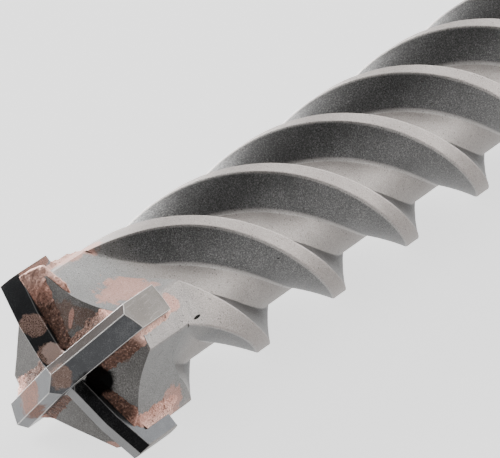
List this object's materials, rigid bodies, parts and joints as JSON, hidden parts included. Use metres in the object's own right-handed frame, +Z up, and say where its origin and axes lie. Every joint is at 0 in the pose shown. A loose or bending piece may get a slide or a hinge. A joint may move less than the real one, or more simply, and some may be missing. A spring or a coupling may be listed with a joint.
{
  "type": "hammer drill bit",
  "caption": "Long hammer drill bit with a cross-shaped hard-metal tip, right-hand spiral flutes and an 18 mm slotted hammer shank.",
  "frame": {"origin": "centre of the struck end face of the shank", "axes": "+X along the bit from the shank to the tip, +Z up with the bit lying on its ridges, the arms of the cross at 45 degrees to Y and Z"},
  "size_m": [0.32, 0.0216, 0.0216],
  "materials": {
    "body_steel": "shot-blasted forged steel, matt",
    "hard_metal": "sintered and ground hard metal",
    "braze_copper": "dull, grainy copper braze"
  },
  "bodies": {
    "root": {"steel_body": "body_steel", "cutting_cross": "hard_metal", "copper_braze": "braze_copper"}
  },
  "joints": []
}
